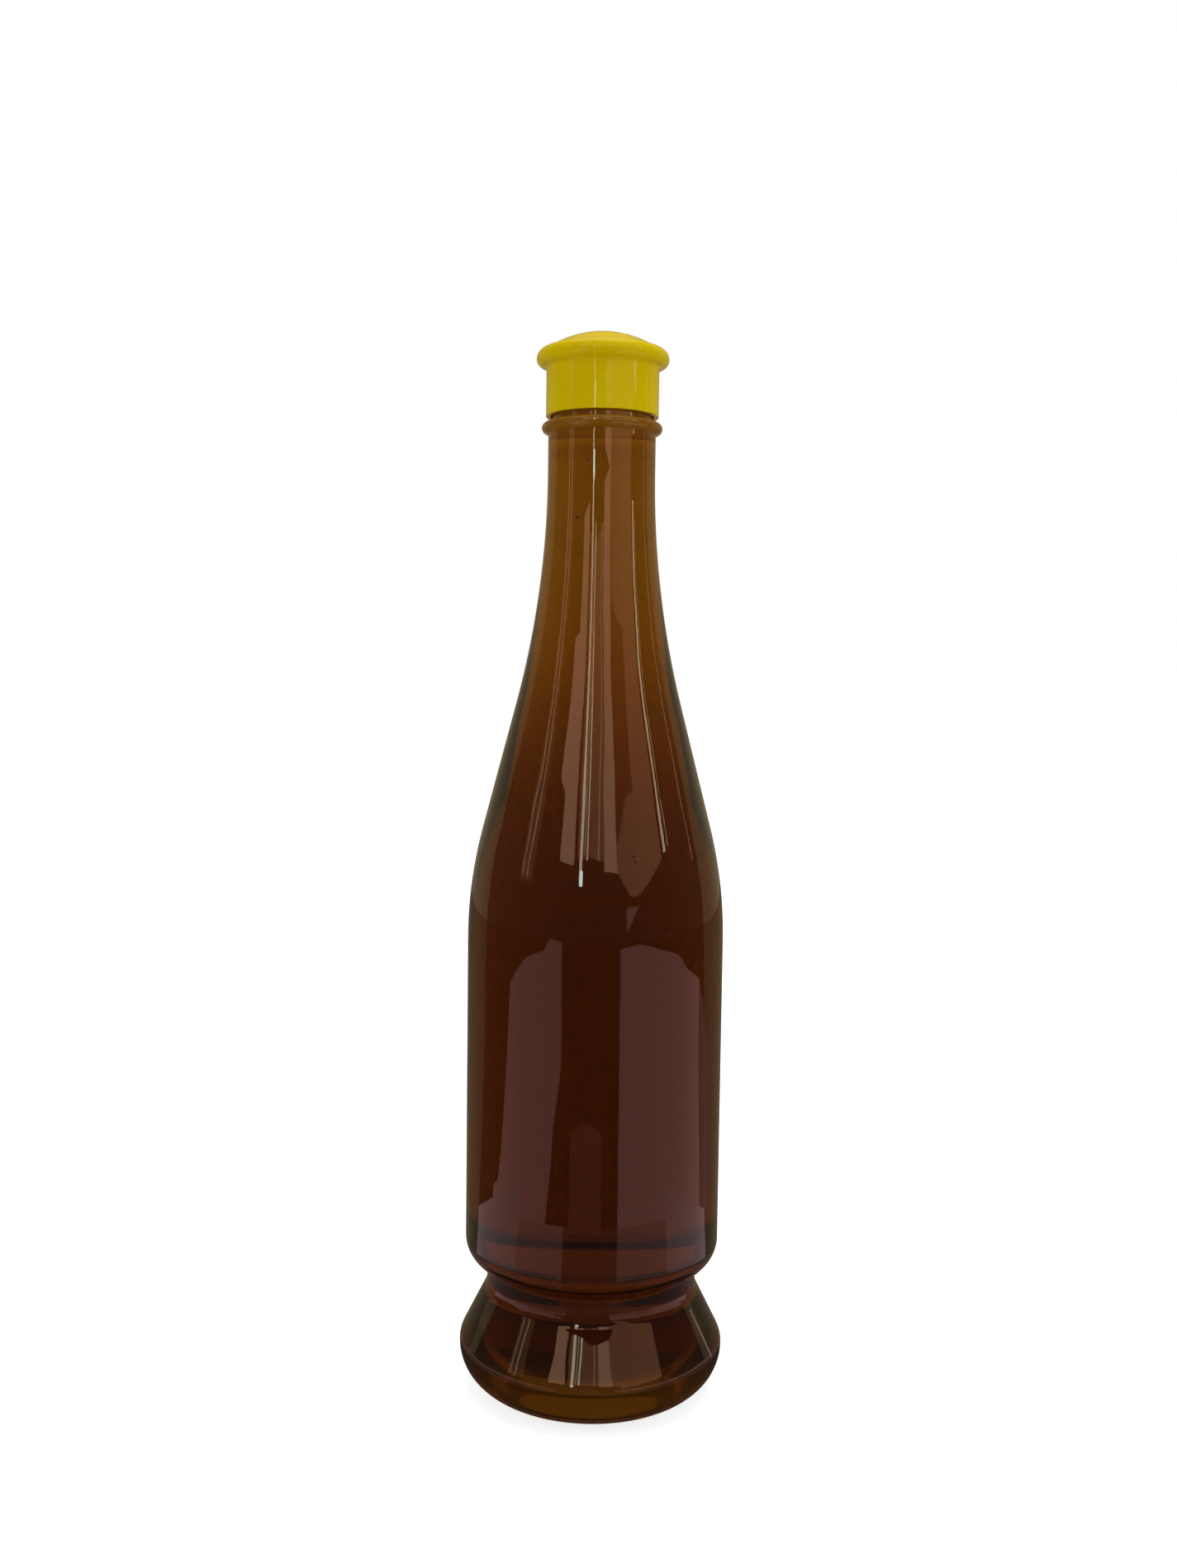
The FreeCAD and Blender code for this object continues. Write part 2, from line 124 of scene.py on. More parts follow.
def arc(centre, radius, start, end):
    """Points along an arc, close enough together for a smooth turn."""
    span = abs(end - start)
    steps = max(3, math.ceil(span / ARC_TURN), math.ceil(span * radius / ARC_LENGTH))
    return [polar(centre, radius, start + (end - start) * i / steps) for i in range(steps + 1)]


def crossing(bulge, bulge_radius, hollow, hollow_radius):
    """Direction, from the bulge's centre, in which a line touches it and the hollow beyond."""
    run = math.hypot(hollow[0] - bulge[0], hollow[1] - bulge[1])
    aim = math.atan2(hollow[1] - bulge[1], hollow[0] - bulge[0])
    return aim - math.acos((bulge_radius + hollow_radius) / run)


def blown_side(inset):
    """The blown side, set in from the outside, from the axis under the base to the neck."""
    stand_out = FOOT - HEEL
    stand_in = stand_out - STAND_LAND
    spread = PUSH_CROWN - PUSH_ROUND
    lift = math.acos(PUSH_REACH / spread)
    brow = (PUSH_REACH, BASE_RISE - PUSH_CROWN + spread * math.sin(lift))
    run = math.hypot(stand_in - brow[0], STAND_ROUND - brow[1])
    aim = math.atan2(STAND_ROUND - brow[1], stand_in - brow[0])
    lean = aim + math.acos((PUSH_ROUND + STAND_ROUND) / run)
    over = (FOOT - FOOT_ROUND, HEEL)
    flare = (WAIST + FLARE, WAIST_TOP - WAIST_LAND)
    turn = crossing(over, FOOT_ROUND, flare, FLARE)
    cove = (WAIST + COVE, WAIST_TOP)
    step = CORNER + COVE
    under = math.acos(1 - (BODY - WAIST) / step)
    corner = (BODY - CORNER, WAIST_TOP + step * math.sin(under))
    narrowing = BODY - NECK
    reach = narrowing ** 2 + SHOULDER_HEIGHT ** 2 - SLOPE ** 2
    sweep_round = reach / (2 * narrowing) - SHOULDER_ROUND
    bulge = (BODY - SHOULDER_ROUND, SHOULDER_START)
    sweep = (NECK + sweep_round, NECK_START)
    lie = crossing(bulge, SHOULDER_ROUND, sweep, sweep_round)
    return (arc((0, BASE_RISE - PUSH_CROWN), PUSH_CROWN + inset, QUARTER, lift)
            + arc(brow, PUSH_ROUND + inset, lift, lean)
            + arc((stand_in, STAND_ROUND), STAND_ROUND - inset, HALF + lean, 3 * QUARTER)
            + arc((stand_out, HEEL), HEEL - inset, 3 * QUARTER, 4 * QUARTER)
            + arc(over, FOOT_ROUND - inset, 0, turn)
            + arc(flare, FLARE + inset, HALF + turn, HALF)
            + arc(cove, COVE + inset, HALF, HALF - under)
            + arc(corner, CORNER - inset, -under, 0)
            + arc(bulge, SHOULDER_ROUND - inset, 0, lie)
            + arc(sweep, sweep_round + inset, HALF + lie, HALF))


def bottle_outsides():
    """Two runs: the blown side up to the ring's foot, then the ring, the finish and its lip."""
    nose = (RING - RING_ROUND, RING_TOP - RING_ROUND)
    ring_foot = (NECK, RING_TOP - RING_DEPTH)
    back = math.atan2(ring_foot[1] - nose[1], ring_foot[0] - nose[0])
    fall = back + math.acos(RING_ROUND / math.dist(ring_foot, nose))
    bead = (FINISH + BEAD_DEPTH - BEAD_ROUND, BEAD_HEIGHT)
    reach = math.acos((BEAD_ROUND - BEAD_DEPTH) / BEAD_ROUND)
    lip = MOUTH - LIP_ROUND
    return (blown_side(0.0) + [ring_foot],
            arc(nose, RING_ROUND, fall, QUARTER)
            + [(FINISH, RING_TOP)]
            + arc(bead, BEAD_ROUND, -reach, reach)
            + arc((FINISH - LIP_ROUND, lip), LIP_ROUND, 0, QUARTER)
            + arc((BORE + LIP_ROUND, lip), LIP_ROUND, QUARTER, HALF)
            + [(BORE, HONEY_TOP)])


def room_side(inset):
    """The room inside the bottle, or the honey in it, from the axis up to the honey's level."""
    bore = BORE + WALL - inset
    return blown_side(inset) + [(NECK - inset, BORE_START - BORE_EASE),
                                (bore, BORE_START + BORE_EASE), (bore, HONEY_TOP)]


def cap_outline():
    """From the top of the dome down the outside, and up inside to the dome's underside."""
    ball = (DOME_FOOT ** 2 + DOME_RISE ** 2) / (2 * DOME_RISE)
    top = MOUTH + BRIM_OVER + DOME_RISE
    middle = (0, top - ball)
    lean = math.acos(DOME_FOOT / ball)
    inner = math.acos(PLUG_ROOM / (ball - DOME_WALL))
    low = MOUTH - BRIM_UNDER
    catch = (CAP_BORE - CATCH_DEPTH + CATCH_ROUND, BEAD_HEIGHT - BEAD_ROUND - CATCH_ROUND)
    reach = math.acos((CATCH_ROUND - CATCH_DEPTH) / CATCH_ROUND)
    return (arc((0, middle[1]), ball, QUARTER, lean)
            + arc((BRIM - BRIM_OVER, MOUTH), BRIM_OVER, QUARTER, 0)
            + arc((BRIM - BRIM_UNDER, MOUTH), BRIM_UNDER, 0, -QUARTER)
            + arc((SKIRT + BRIM_COVE, low - BRIM_COVE), BRIM_COVE, QUARTER, HALF)
            + arc((SKIRT - SKIRT_EASE, CAP_BOTTOM + SKIRT_EASE), SKIRT_EASE, 0, -QUARTER)
            + arc((CAP_BORE + SKIRT_EASE, CAP_BOTTOM + SKIRT_EASE), SKIRT_EASE,
                  3 * QUARTER, HALF)
            + arc(catch, CATCH_ROUND, HALF + reach, HALF - reach)
            + [(CAP_BORE, MOUTH), (PLUG, MOUTH), (PLUG, PLUG_LOW), (PLUG_ROOM, PLUG_LOW)]
            + arc(middle, ball - DOME_WALL, inner, QUARTER))


# ---------------------------------------------------------------- meshes

def linked(name, data):
    """A named thing, put into the scene."""
    item = bpy.data.objects.new(name, data)
    bpy.context.scene.collection.objects.link(item)
    return item


def turned(name, runs):
    """A solid turned about Z from runs of outline points, each run with a finish of its own."""
    points, finish_of = [], []
    for number, run in enumerate(runs):
        for point in run:
            if points and math.dist(points[-1], point) < SAME_SPOT:
                continue
            points.append(point)
            finish_of.append(number)
    verts, rings = [], []
    for across, height in points:
        if across < SAME_SPOT:
            rings.append([len(verts)] * TURN_STEPS)
            verts.append((0, 0, height * MM))
            continue
        rings.append(list(range(len(verts), len(verts) + TURN_STEPS)))
        for k in range(TURN_STEPS):
            angle = 2 * math.pi * k / TURN_STEPS
            verts.append((across * MM * math.cos(angle), across * MM * math.sin(angle),
                          height * MM))
    faces, slots = [], []
    for low, high, slot in zip(rings, rings[1:], finish_of[1:]):
        for k in range(TURN_STEPS):
            after = (k + 1) % TURN_STEPS
            corners = [low[k], low[after], high[after], high[k]]
            faces.append([c for i, c in enumerate(corners) if c not in corners[:i]])
            slots.append(slot)
    mesh = bpy.data.meshes.new(name)
    mesh.from_pydata(verts, [], faces)
    mesh.polygons.foreach_set("material_index", slots)
    mesh.shade_smooth()
    mesh.set_sharp_from_angle(angle=SHARP_FROM)
    mesh.update()
    piece = linked(name, mesh)
    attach(piece, "root")
    return piece


# ---------------------------------------------------------------- finishes

# shares of a speck's reach and of a stroke's width that are at full strength
SPECK_CORE = 0.6
STROKE_CORE = 0.4
# specks: turn in degrees to the right of the front, height and reach
SPECKS = (
    (-13.8, 256.8, 0.40), (-24.3, 241.7, 0.55), (1.5, 139.6, 0.45), (11.6, 138.9, 0.35),
    (24.8, 134.2, 0.40), (0.6, 131.4, 0.35), (6.8, 129.0, 0.30), (-4.7, 122.3, 0.35),
    (-17.7, 28.9, 0.45), (17.6, 152.0, 0.50), (17.0, 153.3, 0.45))
# fine dark hairs and a long pale scratch: the turn and height of each bend
HAIRS = (((26.7, 30.3), (21.1, 26.7)), ((4.4, 117.6), (6.1, 116.4), (7.8, 117.0)))
HAIR_WIDTH = 0.16
SCRATCH = ((62.8, 25.8), (63.4, 21.5), (63.9, 18.5), (64.2, 16.0), (64.5, 13.6))
SCRATCH_WIDTH = 0.4

PLASTIC_IOR = 1.5
CLEAR_TINT = (0.96, 0.93, 0.66, 1)
DIRT = (0.012, 0.006, 0.003, 1)
DIRT_SHARE = 0.8
SCRAPED = (0.55, 0.45, 0.40, 1)
SCRAPED_SHARE = 0.4
# amber painted on the thick ring and finish, in place of light that shines through them from the
# honey and the cap
PAINTED_AMBER_DEEP, PAINTED_AMBER = (0.36, 0.155, 0.004, 1), (0.44, 0.20, 0.008, 1)
THICK_CLEARNESS = 0.45
WHITE = (1, 1, 1, 1)
HONEY_TINT = (0.66, 0.51, 0.08, 1)
HONEY_DEPTH = (0.79, 0.69, 0.32, 1)
HONEY_DENSITY = 200.0
# painted glow: the honey gives off amber light of its own, in place of light carried through it
HONEY_PAINTED_GLOW = (1, 0.36, 0.01, 1)
HONEY_PAINTED_GLOW_STRENGTH = 0.3
# shares of that painted glow: everywhere, in the heel, and from under the ring upward
PAINTED_GLOW_ALL, PAINTED_GLOW_HEEL, PAINTED_GLOW_MOUTH = 0.01, 0.06, 0.28
# heights over which the heel's painted glow comes in and fades, and the mouth's comes in
HEEL_GLOW_IN, HEEL_GLOW_OUT, MOUTH_GLOW_IN = (2, 8), (20, 9), (258.5, 263.5)
HEEL_GLOW_EVEN, HEEL_GLOW_PATCHY = 0.7, 0.6
CAP_DEEP, CAP_YELLOW = (0.84, 0.60, 0.0, 1), (0.90, 0.66, 0.0, 1)
CAP_IOR = 1.3
CAP_SMOOTH, CAP_CLOUDED = 0.03, 0.04


class Wire:
    """A shader socket that arithmetic can be written on."""

    def __init__(self, finish, socket):
        self.finish = finish
        self.socket = socket

    def __add__(self, other):
        return self.finish.reckon("ADD", self, other)

    def __sub__(self, other):
        return self.finish.reckon("SUBTRACT", self, other)

    def __rsub__(self, other):
        return self.finish.reckon("SUBTRACT", other, self)

    def __mul__(self, other):
        return self.finish.reckon("MULTIPLY", self, other)

    __radd__ = __add__
    __rmul__ = __mul__


class Finish:
    """A material, or the world, and the one way in which its nodes are made."""

    def __init__(self, name, owner=None):
        self.owner = owner or bpy.data.materials.new(name)
        self.owner.use_nodes = True
        self.tree = self.owner.node_tree
        self.tree.nodes.clear()

    def make(self, kind, settings=None, values=None, output=0):
        """A node: its settings first, then a value or a wire for each socket named."""
        node = self.tree.nodes.new(kind)
        for key, value in (settings or {}).items():
            setattr(node, key, value)
        for key, value in (values or {}).items():
            if isinstance(value, Wire):
                self.tree.links.new(value.socket, node.inputs[key])
            else:
                node.inputs[key].default_value = value
        return Wire(self, node.outputs[output]) if len(node.outputs) else node

    def reckon(self, operation, *values):
        return self.make("ShaderNodeMath", {"operation": operation}, dict(enumerate(values)))

    def vector(self, operation, *values, output=0):
        return self.make("ShaderNodeVectorMath", {"operation": operation},
                         dict(enumerate(values)), output)

    def clamp(self, value):
        return self.make("ShaderNodeClamp", None, {"Value": value})

    def place(self):
        return self.make("ShaderNodeTexCoord", output="Object")

    def noise(self, scale, detail, roughness=0.5, stretch=(1, 1, 1)):
        """Soft noise, drawn out along each axis whose stretch is under 1."""
        place = self.make("ShaderNodeMapping", None, {"Vector": self.place(), "Scale": stretch})
        return self.make("ShaderNodeTexNoise", None, {
            "Vector": place, "Scale": scale, "Detail": detail, "Roughness": roughness})

    def ease(self, value, low, high):
        """0 below low, 1 above high, smooth between; low may be the larger one."""
        return self.make("ShaderNodeMapRange", {"interpolation_type": "SMOOTHSTEP"}, {
            "Value": value, "From Min": low, "From Max": high})

    def blend(self, share, first, second):
        return self.make("ShaderNodeMix", {"data_type": "RGBA"}, {
            "Factor": share, 6: first, 7: second}, output=2)

    def near(self, spot, reach):
        """1 at a spot in metres, falling to 0 at its reach."""
        away = self.vector("DISTANCE", self.place(), spot, output="Value")
        return self.ease(away, reach, SPECK_CORE * reach)

    def stroke(self, start, end, width):
        """1 along a straight line between two spots, falling to 0 at its width."""
        run = Vector(end) - Vector(start)
        share = 1.0 / run.length_squared
        from_start = self.vector("SUBTRACT", self.place(), start)
        along = self.clamp(self.vector("DOT_PRODUCT", from_start, run * share, output="Value"))
        nearest = self.vector("MULTIPLY_ADD", tuple(run), along, start)
        away = self.vector("DISTANCE", self.place(), nearest, output="Value")
        return self.ease(away, width, STROKE_CORE * width)

    def bump(self, height, depth, strength, skin=None):
        """Waves of a depth in millimetres, laid over a finer bump where there is one."""
        values = {"Height": height, "Distance": depth * MM, "Strength": strength}
        if skin is not None:
            values["Normal"] = skin
        return self.make("ShaderNodeBump", None, values)

    def principled(self, colour, roughness, more=None):
        return self.make("ShaderNodeBsdfPrincipled", None, {
            "Base Color": colour, "Roughness": roughness, **(more or {})})

    def refraction(self, colour):
        return self.make("ShaderNodeBsdfRefraction", None, {
            "Color": colour, "Roughness": 0.0, "IOR": PLASTIC_IOR})

    def emission(self, colour, strength):
        return self.make("ShaderNodeEmission", None, {"Color": colour, "Strength": strength})

    def cover(self, share, under, over):
        """One shader over another, where and as far as a share says."""
        return self.make("ShaderNodeMixShader", None, {"Fac": share, 1: under, 2: over})

    def surface(self, shader, volume=None):
        values = {"Surface": shader}
        if volume is not None:
            values["Volume"] = volume
        self.make("ShaderNodeOutputMaterial", None, values)
        return self.owner


def on_bottle(turn, height):
    """A spot on the body or the neck: degrees to the right of the front, and millimetres up."""
    outline = [p for p in blown_side(0.0) if p[1] >= HEEL]
    across = next((a[0] + (b[0] - a[0]) * (height - a[1]) / max(LEAST_RISE, b[1] - a[1])
                   for a, b in zip(outline, outline[1:]) if a[1] <= height <= b[1]), NECK)
    angle = math.radians(turn)
    return (across * MM * math.sin(angle), -across * MM * math.cos(angle), height * MM)


def strokes(f, bends, width):
    """Each straight run of a hair or a scratch, as a mask of its own."""
    spots = [on_bottle(turn, height) for turn, height in bends]
    return [f.stroke(start, end, width * MM) for start, end in zip(spots, spots[1:])]


def clear_plastic():
    """The bottle's outside: clear blown plastic, softly waved, with specks, hairs, a scratch."""
    f = Finish("clear_blown_plastic")
    waves = f.noise(60.0, detail=2.0, roughness=0.45, stretch=(1, 1, 0.12))
    ripple = f.noise(260.0, detail=1.0, stretch=(1, 1, 0.3))
    skin = f.bump(ripple, depth=0.01, strength=0.5)
    clear = f.principled(CLEAR_TINT, roughness=0.0, more={
        "IOR": PLASTIC_IOR, "Transmission Weight": 1.0,
        "Normal": f.bump(waves, depth=0.6, strength=0.6, skin=skin)})
    marks = sum(f.near(on_bottle(turn, height), reach * MM) for turn, height, reach in SPECKS)
    for bends in HAIRS:
        marks = sum(strokes(f, bends, HAIR_WIDTH), marks)
    scratch = sum(strokes(f, SCRATCH, SCRATCH_WIDTH))
    dirt = f.principled(DIRT, roughness=0.5)
    scraped = f.principled(SCRAPED, roughness=0.6)
    specked = f.cover(DIRT_SHARE * f.clamp(marks), clear, dirt)
    return f.surface(f.cover(SCRAPED_SHARE * f.clamp(scratch), specked, scraped))


def thick_plastic():
    """The thick moulded ring and finish, with amber painted on in place of the honey's and the
    cap's light shining through them.
    """
    f = Finish("thick_plastic_painted_amber")
    # painted amber in place of the light from the honey and the cap that shines through
    colour = f.blend(f.noise(300.0, detail=2.0), PAINTED_AMBER_DEEP, PAINTED_AMBER)
    waves = f.noise(260.0, detail=2.0, stretch=(1, 1, 0.5))
    return f.surface(f.principled(colour, roughness=0.0, more={
        "IOR": PLASTIC_IOR, "Transmission Weight": THICK_CLEARNESS,
        "Normal": f.bump(waves, depth=0.1, strength=0.5)}))


def wet_wall():
    """The bottle's inside, wetted by the honey, so nothing shines back from it."""
    f = Finish("wall_wet_with_honey")
    return f.surface(f.refraction(WHITE))


def honey_finish():
    """Dark honey, with a faint painted glow that stands in for light carried through it: more in
    the heel and under the ring.
    """
    f = Finish("dark_honey_painted_glow")

    def level(low, high):
        return f.ease(height, low * MM, high * MM)

    height = f.make("ShaderNodeSeparateXYZ", None, {"Vector": f.place()}, output="Z")
    cloud = f.noise(40.0, detail=2.0)
    heel_glow = level(*HEEL_GLOW_OUT) * level(*HEEL_GLOW_IN) * (HEEL_GLOW_EVEN + HEEL_GLOW_PATCHY * cloud)
    glow_share = PAINTED_GLOW_ALL + PAINTED_GLOW_HEEL * heel_glow + PAINTED_GLOW_MOUTH * level(*MOUTH_GLOW_IN)
    depth = f.make("ShaderNodeVolumeAbsorption", None, {
        "Color": HONEY_DEPTH, "Density": HONEY_DENSITY})
    # painted glow, an emission in place of light that reaches the honey through the heel and
    # under the ring
    glow = f.emission(HONEY_PAINTED_GLOW, HONEY_PAINTED_GLOW_STRENGTH)
    return f.surface(f.cover(glow_share, f.refraction(HONEY_TINT), glow), depth)


def cap_plastic():
    """Glossy yellow plastic, faintly clouded, with flow waves and a fine grain."""
    f = Finish("yellow_cap_plastic")
    cloud = f.noise(90.0, detail=3.0)
    flow = f.noise(150.0, detail=2.0, stretch=(1, 1, 0.4))
    grain = f.bump(f.noise(1600.0, detail=2.0), depth=0.01, strength=0.5)
    colour = f.blend(cloud, CAP_DEEP, CAP_YELLOW)
    return f.surface(f.principled(colour, roughness=CAP_SMOOTH + CAP_CLOUDED * cloud, more={
        "IOR": CAP_IOR, "Normal": f.bump(flow, depth=0.3, strength=0.6, skin=grain)}))


# ---------------------------------------------------------------- studio

# the world's light on matt things; what sees it directly finds it white
SOFT_LIGHT = 0.42
FLOOR_COLOUR = (0.6, 0.6, 0.6, 1)
FLOOR_GLOW = 0.8
# half the floor's side in metres, and how far in millimetres it lies under the bottle
FLOOR_REACH = 9
FLOOR_DROP = 0.1

# Cards are what the bottle mirrors.  A station of a card is a turn in degrees to the right
# of the front and two ends: heights of a standing card, distances of a lying one.
CARD_FAR = 1300
CARD_TURN = 6.0
UPRIGHT_FAR = CARD_FAR - 50
ROOM_FAR = CARD_FAR + 50
ROOM_HIGH = 2600

PLAIN, UMBER, SEPIA = (1, 1, 1), (1, 0.75, 0.5), (1, 0.78, 0.48)
ROSE, LILAC, BLUSH = (1, 0.56, 0.53), (1, 0.68, 0.71), (1, 0.4, 0.35)
SUN, SHADE, DUSK = (1, 0.58, 0.36), (1, 0.5, 0.28), (1, 0.35, 0.25)
STRAW, COOL = (1, 0.85, 0.6), (0.85, 1, 0.95)

# painted shade: dark rings under the bottle in place of its shadow on the floor, which the clear
# plastic shows too, so that the heel doesn't take on the white floor: name, ends, level
PAINTED_SHADE_RINGS = (
    ("painted_shade_middle", (0, 21), 0.2),
    ("painted_shade_foot", (21, 38.5), 0.05))
UNDER_LIFT = -0.05
# the dim room that the bottle mirrors, all round it: name, turns, level, tint
ROOM = (
    ("dim_front", (-112, 112), 0.03, PLAIN),
    ("dim_left", (-180, -112), 0.17, SEPIA),
    ("dim_right", (112, 180), 0.17, SEPIA))
ROOM_FLOOR_FROM = 38
ROOM_FLOOR_LIFT = 0.2
ROOM_WALL_FROM = 0.3
ROOM_WALL_LEVEL = 2.0
# pale table round the foot and to both sides of whoever stands in front:
# name, stations, level, tint, lift
TABLE = (
    ("table_foot_left", ((-125, 60, 110), (-24, 60, 110)), 0.25, ROSE, 0.5),
    ("table_foot_right", ((20, 60, 110), (125, 60, 110)), 0.25, ROSE, 0.5),
    ("table_middle", ((-24, 60, 170), (20, 60, 170)), 0.16, ROSE, 0.5),
    ("table_rim_left", ((-112, 110, 165), (-62, 110, 205)), 0.7, LILAC, 0.7),
    ("table_rim_right", ((62, 110, 205), (112, 110, 165)), 0.8, LILAC, 0.7),
    ("table_left_near", ((-62, 110, 170), (-24, 110, 170)), 0.6, ROSE, 0.7),
    ("table_right_near", ((20, 110, 170), (62, 110, 170)), 0.6, ROSE, 0.7),
    ("table_left", ((-92, 165, 195), (-87, 165, 205), (-82, 165, 330), (-78, 165, 620),
                    (-60, 165, 720), (-44, 165, 860), (-40, 165, 1340), (-38, 165, 1330),
                    (-28, 400, 1240)), 0.8, ROSE, 0.5),
    ("table_right", ((20, 165, 1000), (40, 165, 1150), (60, 165, 900), (86, 165, 680),
                     (104, 165, 620)), 0.85, ROSE, 0.5),
    ("table_edge", ((104, 165, 620), (118, 165, 420)), 0.25, LILAC, 0.5),
    ("lap", ((-19, 165, 280), (-6, 165, 300), (7, 165, 285)), 0.3, BLUSH, 0.5))
# windows, their frames and what hangs before them: name, stations, level, tint, distance
WINDOWS = (
    ("window_left", ((-41, 700, 1500), (-34.5, 700, 1500), (-34, 510, 1500), (-23, 490, 1500)),
     2.3, SUN, CARD_FAR),
    ("window_veiled", ((-20, 545, 1500), (-6, 560, 1500), (7, 530, 1500)), 0.95, SHADE, CARD_FAR),
    ("window_middle", ((7, 460, 1500), (20, 440, 1500)), 2.3, SUN, CARD_FAR),
    ("window_low", ((20, 440, 640), (30, 290, 690), (38, 280, 700), (41, 300, 690)),
     1.1, SHADE, CARD_FAR),
    ("window_right", ((41, 300, 1500), (50, 360, 1500), (64, 450, 1500)), 1.2, SHADE, CARD_FAR),
    ("window_dark", ((20, 640, 1500), (30, 690, 1500), (41, 690, 1500)), 0.4, DUSK, CARD_FAR),
    ("blind_near", ((-36, 158, 172), (46, 158, 172)), 0.1, SHADE, 300),
    ("frame_left", ((-74, 300, 1500), (-58, 320, 1500)), 0.5, SHADE, CARD_FAR),
    ("arch", ((26, 60, 190), (30, 110, 260), (34, 170, 275), (38, 215, 270), (42, 240, 262)),
     0.9, ROSE, CARD_FAR))
# narrow uprights, a little in front of the windows: turn, width, ends, level
UPRIGHTS = (
    (-16.0, 2.6, (400, 1400), 6.0), (-12.6, 0.8, (560, 1400), 3.0),
    (-9.6, 1.6, (520, 1400), 5.0), (3.0, 1.0, (520, 1200), 2.0),
    (68.5, 3.0, (462, 1400), 5.0), (73.0, 1.0, (480, 1300), 2.5),
    (-70.5, 1.8, (330, 1400), 1.6), (-64.0, 1.8, (330, 1400), 1.6),
    (102.0, 1.6, (300, 1300), 1.0))
# a small cool gleam among them
GLEAM = (-15.3, 3.2, (350, 450), 14.0)

# lamps: name, place and aim in metres, size in metres, power in watts
LAMPS = (
    ("lamp_above", (0.1, 0.25, 1.5), (0, 0, 0.25), 1.2, 12.0),
    ("lamp_left", (-1.2, -0.7, 0.9), (0, 0, 0.2), 0.9, 2.4),
    ("lamp_right", (1.3, -0.5, 0.9), (0, 0, 0.2), 0.9, 3.6))

# the camera stands a little above the bottle's middle, 414 mm in front of its axis:
# place in metres, turns in radians, sensor and lens in millimetres
CAMERA_PLACE = (0, -0.4139, 0.1992)
CAMERA_PITCH, CAMERA_YAW, CAMERA_ROLL = 0.071, -0.006, -0.0129
CAMERA_SENSOR, CAMERA_LENS = 36.0, 34.24
CAMERA_CLIP = 0.01


def seen_directly(f):
    """1 for what the eye, a reflection or clear plastic sees, 0 for soft light."""
    eye, gloss, clear = (f.make("ShaderNodeLightPath", output=ray) for ray in (
        "Is Camera Ray", "Is Glossy Ray", "Is Transmission Ray"))
    return f.reckon("MAXIMUM", f.reckon("MAXIMUM", eye, gloss), clear)


def studio_world():
    world = bpy.data.worlds.new("white_studio")
    bpy.context.scene.world = world
    f = Finish("white_studio", world)
    level = SOFT_LIGHT + (1 - SOFT_LIGHT) * seen_directly(f)
    light = f.make("ShaderNodeBackground", None, {"Color": WHITE, "Strength": level})
    f.make("ShaderNodeOutputWorld", None, {"Surface": light})


def sheet_of(name, corners, finish, quads=((0, 1, 2, 3),)):
    mesh = bpy.data.meshes.new(name)
    mesh.from_pydata(corners, [], quads)
    mesh.materials.append(finish)
    sheet = linked(name, mesh)
    return sheet


def white_floor():
    f = Finish("white_floor")
    matt = f.make("ShaderNodeBsdfDiffuse", None, {"Color": FLOOR_COLOUR})
    glow = f.emission(WHITE, FLOOR_GLOW * seen_directly(f))
    finish = f.surface(f.make("ShaderNodeAddShader", None, {0: matt, 1: glow}))
    out, low = FLOOR_REACH, -FLOOR_DROP * MM
    sheet_of("floor", [(-out, -out, low), (out, -out, low), (out, out, low), (-out, out, low)],
             finish)


def card(name, stations, level, tint, far=CARD_FAR, lift=None):
    """A glowing card for reflections alone: it stands far off, or lies where it has a lift."""
    f = Finish(name)
    finish = f.surface(f.emission((*tint, 1), level))
    corners = []
    for (turn, *ends), (next_turn, *next_ends) in zip(stations, stations[1:]):
        steps = max(1, math.ceil((next_turn - turn) / CARD_TURN))
        closing = next_turn == stations[-1][0]
        for i in range(steps + closing):
            angle = math.radians(turn + (next_turn - turn) * i / steps)
            for end, next_end in zip(ends, next_ends):
                value = end + (next_end - end) * i / steps
                across, height = (far, value) if lift is None else (value, lift)
                corners.append((across * MM * math.sin(angle), -across * MM * math.cos(angle),
                                height * MM))
    quads = [(i, i + 1, i + 3, i + 2) for i in range(0, len(corners) - 2, 2)]
    item = sheet_of(name, corners, finish, quads)
    item.visible_camera = False
    item.visible_diffuse = False
    item.visible_transmission = False
    item.visible_volume_scatter = False
    item.visible_shadow = False
    return item


def strip(name, turn, width, ends, level, tint=STRAW):
    """A narrow bright upright."""
    card(name, [(turn - width / 2, *ends), (turn + width / 2, *ends)], level, tint,
         far=UPRIGHT_FAR)


def lamp(name, place, aim, size, power):
    data = bpy.data.lights.new(name, "AREA")
    data.shape = "SQUARE"
    data.size = size
    data.energy = power
    item = linked(name, data)
    item.location = place
    item.rotation_euler = (Vector(aim) - Vector(place)).to_track_quat("-Z", "Y").to_euler()
    item.visible_camera = False
    item.visible_glossy = False
    item.visible_transmission = False


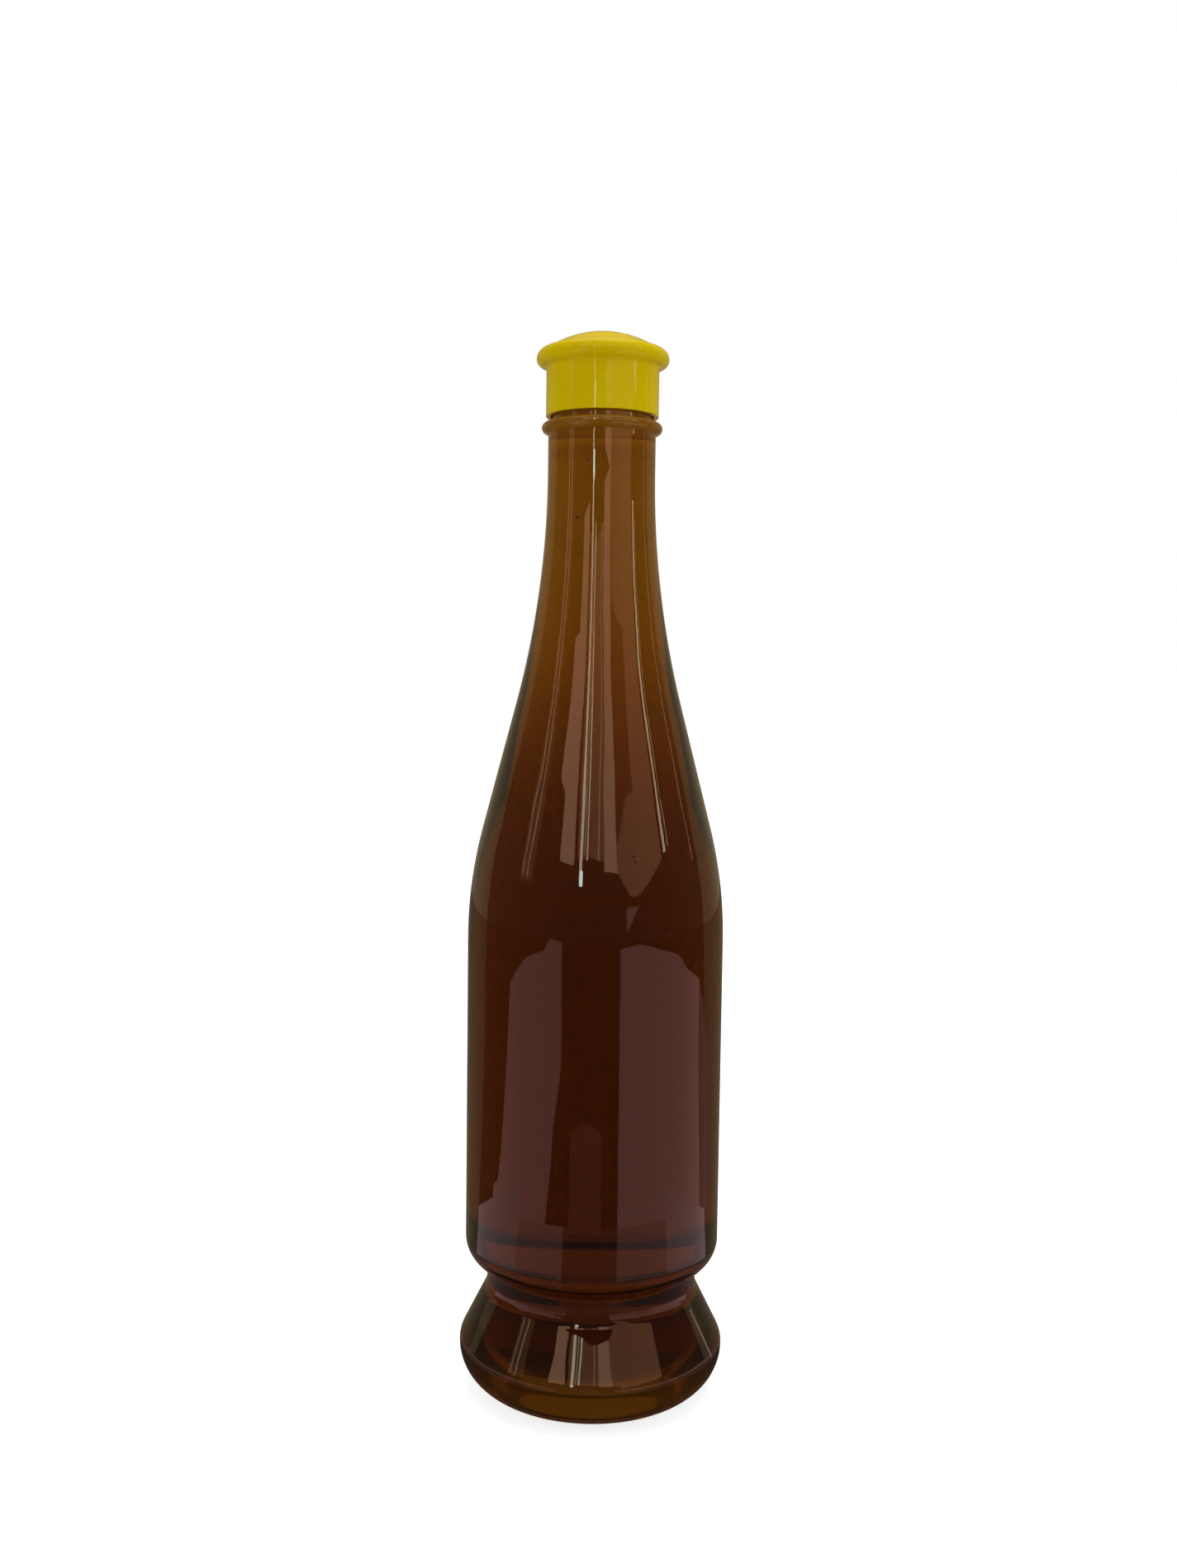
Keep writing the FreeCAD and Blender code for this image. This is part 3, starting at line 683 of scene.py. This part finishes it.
def studio():
    studio_world()
    white_floor()
    # painted shade under the bottle, seen in reflections and through the clear plastic
    for name, ends, level in PAINTED_SHADE_RINGS:
        under = card(name, [(-180, *ends), (180, *ends)], level, UMBER, lift=UNDER_LIFT)
        # seen through the clear plastic as well
        under.visible_transmission = True
    for name, turns, level, tint in ROOM:
        card(name + "_floor", [(turn, ROOM_FLOOR_FROM, ROOM_FAR) for turn in turns],
             level, tint, lift=ROOM_FLOOR_LIFT)
        card(name + "_wall", [(turn, ROOM_WALL_FROM, ROOM_HIGH) for turn in turns],
             level * ROOM_WALL_LEVEL, tint, far=ROOM_FAR)
    for name, stations, level, tint, lift in TABLE:
        card(name, stations, level, tint, lift=lift)
    for name, stations, level, tint, far in WINDOWS:
        card(name, stations, level, tint, far=far)
    for number, upright in enumerate(UPRIGHTS):
        strip("upright_%d" % number, *upright)
    strip("gleam", *GLEAM, COOL)
    for one in LAMPS:
        lamp(*one)


def camera():
    data = bpy.data.cameras.new("camera")
    data.sensor_fit = "VERTICAL"
    data.sensor_height = CAMERA_SENSOR
    data.lens = CAMERA_LENS
    data.clip_start = CAMERA_CLIP
    item = linked("camera", data)
    pitch, yaw, roll = CAMERA_PITCH, CAMERA_YAW, CAMERA_ROLL
    right = Vector((math.cos(yaw), -math.sin(yaw), 0))
    ahead = Vector((math.sin(yaw), math.cos(yaw), 0))
    forward = math.cos(pitch) * ahead - math.sin(pitch) * Vector((0, 0, 1))
    up = math.sin(pitch) * ahead + math.cos(pitch) * Vector((0, 0, 1))
    side = math.cos(roll) * right - math.sin(roll) * up
    crown = math.sin(roll) * right + math.cos(roll) * up
    turned_to = Matrix((side, crown, -forward)).transposed().to_4x4()
    item.matrix_world = Matrix.Translation(CAMERA_PLACE) @ turned_to
    bpy.context.scene.camera = item


# ---------------------------------------------------------------- the object

def pieces():
    bottle = turned("bottle_shell", [*bottle_outsides(), list(reversed(room_side(WALL)))])
    for finish in (clear_plastic(), thick_plastic(), wet_wall()):
        bottle.data.materials.append(finish)
    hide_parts("bottle")

    honey = turned("honey_fill", [room_side(HONEY_BITE) + [(0, HONEY_TOP)]])
    honey.data.materials.append(honey_finish())
    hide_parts("honey")

    cap = turned("push_on_cap", [list(reversed(cap_outline()))])
    cap.data.materials.append(cap_plastic())
    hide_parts("cap")


bpy.context.scene.view_settings.view_transform = "Standard"
pieces()
studio()
camera()
